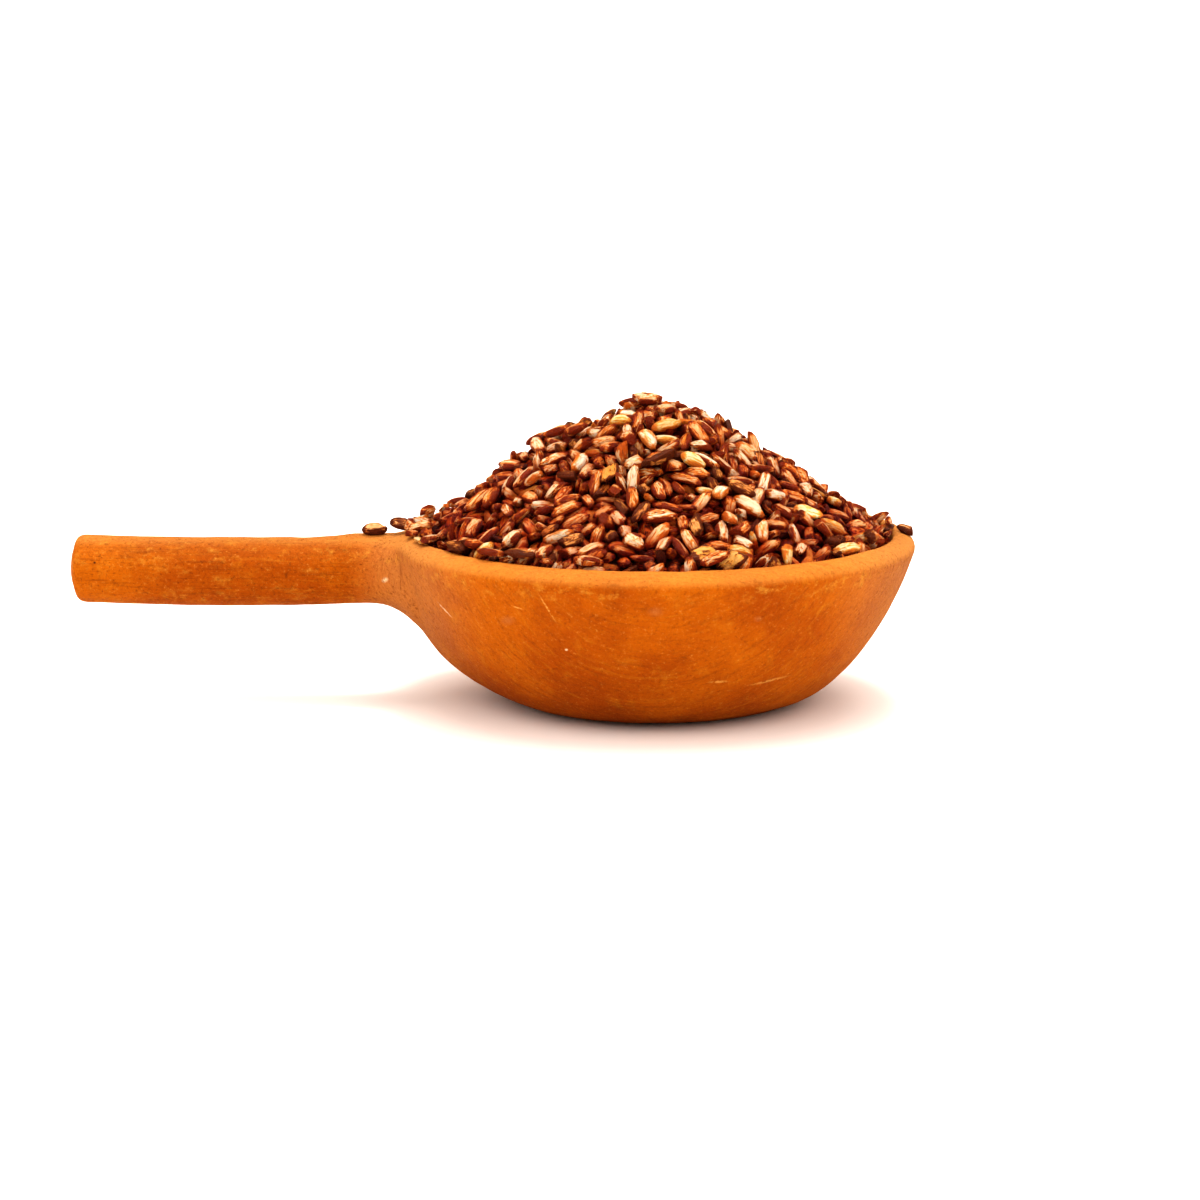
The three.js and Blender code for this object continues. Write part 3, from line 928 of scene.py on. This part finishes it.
def grain_shape(seed, rough, point=1.0, bend=0.0, cut=None, blunt=0.0):
    """One grain of length, width and thickness 1, long along X, with two ribs on each flat side.
    Point over 1 makes its ends sharper, blunt flattens the end where its germ was, and cut is
    where it broke off."""
    deselect_all()
    bpy.ops.mesh.primitive_uv_sphere_add(segments=8, ring_count=7, radius=0.5)
    grain = bpy.context.object
    bpy.ops.object.mode_set(mode="EDIT")
    bpy.ops.mesh.select_all(action="SELECT")
    bpy.ops.transform.rotate(value=math.pi / 2, orient_axis="Y", center_override=(0, 0, 0))
    stations = sorted({round(corner.x, 3) for corner in corners_of(grain)})
    for station in stations:
        ends = (2 * station) ** 2
        narrow = 1 + (1 - point) * ends * 0.5
        select_where(grain, lambda co: abs(co.x - station) < 0.01)
        bpy.ops.transform.resize(value=(1, narrow, narrow), center_override=(station, 0, 0))
        bpy.ops.transform.translate(value=(0, bend * (0.5 - ends), 0))
    select_where(grain, lambda co: abs(co.y - bend / 3) < 0.1 and abs(co.x) < 0.4)
    bpy.ops.transform.resize(value=(1, 1, 0.86), center_override=(0, 0, 0))
    select_where(grain, lambda co: abs(co.y) > 0.2 and abs(co.z) > 0.2)
    bpy.ops.transform.resize(value=(1, 1.06, 1.08), center_override=(0, 0, 0))
    if blunt:
        select_where(grain, lambda co: co.x > 0.36)
        bpy.ops.transform.resize(value=(1 - blunt, 1.1, 1.1), center_override=(0.3, 0, 0))
        select_where(grain, lambda co: co.x > 0.3 and co.y > 0.05)
        bpy.ops.transform.translate(value=(-0.09, -0.04, 0))
    bpy.ops.mesh.select_all(action="SELECT")
    bpy.ops.transform.vertex_random(offset=rough, uniform=1.0, normal=0.0, seed=seed)
    if cut is not None:
        bpy.ops.mesh.select_all(action="SELECT")
        bpy.ops.mesh.bisect(
            plane_co=(cut, 0, 0), plane_no=(1, 0.25, 0.1), use_fill=True, clear_outer=True
        )
        bpy.ops.mesh.select_all(action="SELECT")
        middle = (cut - 0.5) / 2
        bpy.ops.transform.translate(value=(-middle, 0, 0))
        bpy.ops.transform.resize(value=(1 / (cut + 0.5), 1, 1), center_override=(0, 0, 0))
    bpy.ops.object.mode_set(mode="OBJECT")
    return shape_of(grain)


def corners_of(piece):
    """The corners of a piece that is being edited."""
    piece.update_from_editmode()
    return [corner.co.copy() for corner in piece.data.vertices]


def select_where(piece, chosen):
    """Selects the corners that a test picks, of a piece that is being edited."""
    bpy.ops.mesh.select_all(action="DESELECT")
    bpy.ops.mesh.select_mode(type="VERT")
    bpy.ops.object.mode_set(mode="OBJECT")
    for corner in piece.data.vertices:
        corner.select = bool(chosen(corner.co))
    bpy.ops.object.mode_set(mode="EDIT")


def turned_axes(lie, normal, roll):
    """A grain's own axes: along it, across it and through it, rolled about its length."""
    across = np.cross(normal, lie)
    across /= np.linalg.norm(across, axis=1)[:, None]
    through = np.cross(lie, across)
    c, s = np.cos(roll)[:, None], np.sin(roll)[:, None]
    return np.stack([lie, c * across + s * through, c * through - s * across], 2)


def placed_corners(shapes, grains, axes):
    """Every grain's corners where it lies, and how far each corner is from the next grain."""
    corners = []
    for index, shape in enumerate(grains["shape"]):
        size = np.array([grains[key][index] for key in ("length", "width", "thickness")])
        corners.append((shapes[shape][0] * size) @ axes[index].T + grains["centre"][index])
    owner = np.repeat(np.arange(len(corners)), [len(placed) for placed in corners])
    balls = row_of_balls(grains["centre"], grains["lie"], grains["length"])
    radii = ball_radii(grains)
    ball_owner = np.repeat(np.arange(len(corners)), 4)
    gaps = gaps_to_others(np.concatenate(corners), owner, balls, radii, ball_owner, GAP_REACH)
    return corners, np.split(gaps, np.cumsum([len(placed) for placed in corners])[:-1])


def lay_grains(name, shapes, chosen, grains, placed, luck, material):
    """Joins the chosen grains into one piece. Each takes the shape that its row names."""
    faces, points, lucks = [], [], []
    base = 0
    for index in chosen:
        shape_corners, shape_faces = shapes[grains["shape"][index]]
        points.append(shape_corners)
        lucks.append(np.tile(luck[index], (len(shape_corners), 1)))
        faces.extend(tuple(base + corner for corner in face) for face in shape_faces)
        base += len(shape_corners)
    corners = np.concatenate([placed[0][index] for index in chosen])
    gaps = np.concatenate([placed[1][index] for index in chosen])
    depths = heap_height(corners[:, 0], corners[:, 1]) - corners[:, 2]
    mesh = bpy.data.meshes.new(name)
    mesh.from_pydata(corners.tolist(), [], faces)
    for label, values in (("grain_point", points), ("grain_luck", lucks)):
        attribute = mesh.attributes.new(label, "FLOAT_VECTOR", "POINT")
        attribute.data.foreach_set("vector", np.concatenate(values).ravel().astype(np.float32))
    for label, values in (("grain_depth", depths), ("grain_gap", gaps)):
        attribute = mesh.attributes.new(label, "FLOAT", "POINT")
        attribute.data.foreach_set("value", values.astype(np.float32))
    mesh.materials.append(material)
    piece = bpy.data.objects.new(name, mesh)
    bpy.context.scene.collection.objects.link(piece)
    pick_up(piece)
    bpy.ops.object.shade_smooth_by_angle(angle=SMOOTH_ANGLE)
    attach(piece, "root")
    return piece


def heap_core():
    """The filling under the loose grains, down to the bowl's floor, with small bumps."""
    over = np.linspace(RIM_INNER - 1.6 * MM, 1 * MM, 30)
    over = np.stack([over, slope_height(over) - 1.1 * CORE_DEPTH], 1)
    under = cubic(
        (
            (13 * MM, FLOOR_THICKNESS + 0.4 * MM),
            (27 * MM, FLOOR_THICKNESS + 0.4 * MM),
            (35 * MM, 13 * MM),
            (RIM_INNER - 1.5 * MM, over[0, 1] - 0.5 * MM),
        ),
        10,
    )
    core = turned_solid("rice_core", np.concatenate([under, over]))
    bulge = (*BULGE_PLACE, heap_height(*BULGE_PLACE) - 1.3 * CORE_DEPTH)
    draw_out(core, bulge, (0, 0, BULGE_RISE), BULGE_REACH)
    top = corners_above(core, RIM_HEIGHT - 5 * MM)
    roughen(core, "bumps_of_grains", 1.6 * MM, 1.4 * MM, top, detail=1, middle=0.6)
    for polygon in core.data.polygons:
        polygon.use_smooth = True
    paint, shader = new_material("rice_in_shadow")
    tree = paint.node_tree
    place = node(tree, "ShaderNodeTexCoord").outputs["Object"]
    patches = ramp(tree, noise(tree, place, 420, 3), 0.42, 0.62)
    # painted shade: the filling is dark, for the shade in the gaps between the loose grains
    dark, brown = (0.05, 0.012, 0.005, 1), (0.22, 0.06, 0.02, 1)
    colour = blend(tree, patches, dark, brown)
    plug(tree, shader, {"Base Color": colour, "Roughness": 0.6})
    core.data.materials.append(paint)
    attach(core, "root")
    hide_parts("rice_heap")


WHITE = (0.92, 0.745, 0.57, 1)
PEACH = (0.93, 0.63, 0.37, 1)
CREAM = (0.93, 0.61, 0.34, 1)
TAN = (0.90, 0.41, 0.13, 1)
ORANGE = (0.80, 0.25, 0.035, 1)
RED_BRAN = (0.66, 0.17, 0.016, 1)
DARK_BRAN = (0.28, 0.038, 0.003, 1)
IVORY = (0.97, 0.80, 0.50, 1)
HONEY = (0.97, 0.66, 0.26, 1)
GOLD = (0.90, 0.45, 0.08, 1)
HUSK = (0.74, 0.42, 0.13, 1)
BROWN_BRAN = (0.50, 0.18, 0.035, 1)
SOOT = (0.16, 0.035, 0.006, 1)

# Share of the heap, tones from bare rice to thick bran, and the least and the most bran left on.
KINDS = {
    "rice_red": (0.50, (PEACH, TAN, ORANGE, RED_BRAN, DARK_BRAN), (0.10, 0.62)),
    "rice_streaked": (0.33, (WHITE, PEACH, TAN, RED_BRAN, DARK_BRAN), (0.0, 0.46)),
    "rice_pale": (0.06, (WHITE, WHITE, CREAM, TAN, RED_BRAN), (0.12, 0.45)),
    "rice_amber": (0.02, (IVORY, HONEY, GOLD, GOLD, ORANGE), (0.0, 0.2)),
    "rice_husk": (0.02, (HUSK, HUSK, GOLD, BROWN_BRAN, SOOT), (0.1, 0.5)),
    "rice_dark": (0.07, (TAN, BROWN_BRAN, BROWN_BRAN, SOOT, SOOT), (0.2, 0.75)),
}

# Grains that catch the eye: kind, sort, pixel in the photograph, slant in degrees, and length
# and width in mm.
STANDOUTS = (
    ("rice_amber", "whole", (627, 416), -5, 4.8, 2.2),
    ("rice_amber", "whole", (662, 431), 55, 4.8, 2.3),
    ("rice_amber", "whole", (685, 457), -30, 5.4, 2.6),
    ("rice_amber", "whole", (592, 440), -15, 4.2, 2.2),
    ("rice_amber", "whole", (491, 538), 0, 4.8, 2.8),
    ("rice_amber", "broken", (702, 482), 10, 3.0, 2.3),
    ("rice_amber", "whole", (736, 538), -12, 4.6, 2.4),
    ("rice_amber", "whole", (850, 542), -5, 5.9, 2.3),
    ("rice_amber", "broken", (786, 544), -10, 3.4, 2.2),
    ("rice_pale", "whole", (642, 439), -25, 5.4, 2.6),
    ("rice_pale", "broken", (641, 456), 40, 3.4, 2.6),
    ("rice_pale", "whole", (576, 451), 55, 4.4, 2.7),
    ("rice_pale", "whole", (531, 470), 25, 4.0, 2.4),
    ("rice_pale", "whole", (725, 492), 15, 4.8, 2.5),
    ("rice_pale", "whole", (750, 500), -40, 6.5, 2.9),
    ("rice_streaked", "whole", (662, 504), 8, 6.2, 2.6),
    ("rice_pale", "whole", (562, 529), -3, 5.8, 2.4),
    ("rice_pale", "whole", (667, 526), 25, 5.9, 2.7),
    ("rice_pale", "whole", (657, 560), 0, 6.2, 2.4),
    ("rice_pale", "whole", (767, 527), 60, 5.2, 2.5),
    ("rice_pale", "whole", (730, 515), 80, 5.4, 2.5),
    ("rice_streaked", "whole", (616, 535), 60, 4.4, 2.8),
    ("rice_pale", "whole", (747, 449), 0, 4.4, 2.5),
    ("rice_husk", "flake", (614, 472), 80, 5.6, 3.9),
    ("rice_husk", "crumb", (710, 545), 15, 4.8, 4.0),
    ("rice_husk", "crumb", (736, 554), -10, 4.6, 3.4),
    ("rice_husk", "broken", (783, 556), 20, 4.2, 3.2),
    ("rice_streaked", "flake", (777, 449), -35, 5.0, 3.8),
    ("rice_amber", "flake", (807, 502), -20, 5.2, 3.4),
    ("rice_dark", "crumb", (568, 467), 10, 3.0, 2.9),
    ("rice_dark", "crumb", (652, 461), 20, 4.2, 3.0),
    ("rice_dark", "broken", (695, 525), 75, 4.2, 2.7),
    ("rice_dark", "sliver", (607, 550), -20, 7.0, 1.8),
    ("rice_dark", "crumb", (453, 545), 0, 5.2, 3.2),
    ("rice_dark", "seed", (637, 480), 0, 2.5, 2.4),
    ("rice_dark", "seed", (871, 534), 0, 2.8, 2.6),
    ("rice_dark", "seed", (837, 530), 0, 2.7, 2.5),
    ("rice_red", "sliver", (680, 467), -40, 6.2, 1.9),
    ("rice_red", "sliver", (750, 467), 20, 6.2, 1.5),
    ("rice_red", "sliver", (662, 545), 0, 7.6, 1.6),
    ("rice_red", "sliver", (495, 546), 20, 6.8, 1.9),
    ("rice_dark", "sliver", (680, 405), 80, 3.6, 1.5),
)


# The shapes that loose pieces take, by sort.
SHAPES = {
    "whole": [
        {"blunt": 0.2, "rough": 0.02},
        {"point": 1.3, "blunt": 0.1, "rough": 0.025},
        {"bend": 0.14, "blunt": 0.2, "rough": 0.03},
        {"point": 0.8, "rough": 0.03},
        {"point": 1.2, "bend": -0.1, "rough": 0.04},
    ],
    "broken": [
        {"cut": 0.05, "rough": 0.03},
        {"cut": 0.22, "point": 1.2, "rough": 0.04},
        {"cut": -0.05, "point": 0.8, "rough": 0.05},
    ],
    "crumb": [
        {"cut": 0.1, "point": 0.7, "rough": 0.11},
        {"cut": -0.1, "point": 0.6, "rough": 0.14},
    ],
    "sliver": [{"bend": 0.2, "rough": 0.05}, {"bend": -0.3, "rough": 0.06}],
    "flake": [{"point": 0.8, "rough": 0.06}, {"point": 1.1, "rough": 0.07}],
    "seed": [{"point": 0.9, "rough": 0.05}],
}
FIRST_SHAPE_SEED = 2


def heap_rice():
    random = np.random.default_rng(SEED)
    grains = pour_grains(random)
    sorts = grains["sort"]
    count = len(sorts)
    shapes, shape = [], np.zeros(count, int)
    for sort, variants in SHAPES.items():
        same = sorts == sort
        shape[same] = len(shapes) + random.integers(0, len(variants), same.sum())
        for traits in variants:
            shapes.append(grain_shape(seed=FIRST_SHAPE_SEED + len(shapes), **traits))
    grains["shape"] = shape
    normal = heap_normal(grains["centre"])
    axes = turned_axes(grains["lie"], normal, random.normal(0, 0.5, count))
    luck = random.random((count, 3))
    placed = placed_corners(shapes, grains, axes)
    for name, (_, tones, cover) in KINDS.items():
        chosen = np.nonzero(grains["kind"] == name)[0]
        skin = grain_material(name + "_skin", tones, cover)
        piece = lay_grains(name, shapes, chosen, grains, placed, luck, skin)
        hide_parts("rice_heap")
    lay_strays(shapes)


def lay_strays(shapes):
    """The grains that lie on the clay, two at the handle's root and one on the right of the rim."""
    strays = {
        "centre": np.array([(-48.3, -0.6, 29.6), (-43.6, -1.0, 30.6), (43.1, -0.8, 29.9)]) * MM,
        "lie": np.array([(1, 0.1, 0.05), (0.95, -0.3, -0.12), (0.9, -0.3, -0.35)]),
        "length": np.array([4.6, 4.6, 3.0]) * MM,
        "width": np.array([2.5, 2.4, 2.1]) * MM,
        "thickness": np.array([2.0, 1.7, 1.6]) * MM,
        "shape": np.array([0, 1, 6]),
    }
    strays["lie"] /= np.linalg.norm(strays["lie"], axis=1)[:, None]
    upward = np.tile((0.0, 0.0, 1.0), (3, 1))
    axes = turned_axes(strays["lie"], upward, np.array([0.5, 0.9, 0.2]))
    luck = np.array([(0.2, 0.55, 0.9), (0.35, 1.0, 1.0), (0.8, 0.9, 0.9)])
    skin = grain_material("stray_skin", (CREAM, TAN, BROWN_BRAN, SOOT, SOOT), (0.0, 0.5))
    placed = placed_corners(shapes, strays, axes)
    piece = lay_grains("stray_grains", shapes, range(3), strays, placed, luck, skin)
    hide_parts("clay_ladle")


aim_camera()
light_studio()
lay_floor()
make_ladle()
heap_core()
heap_rice()
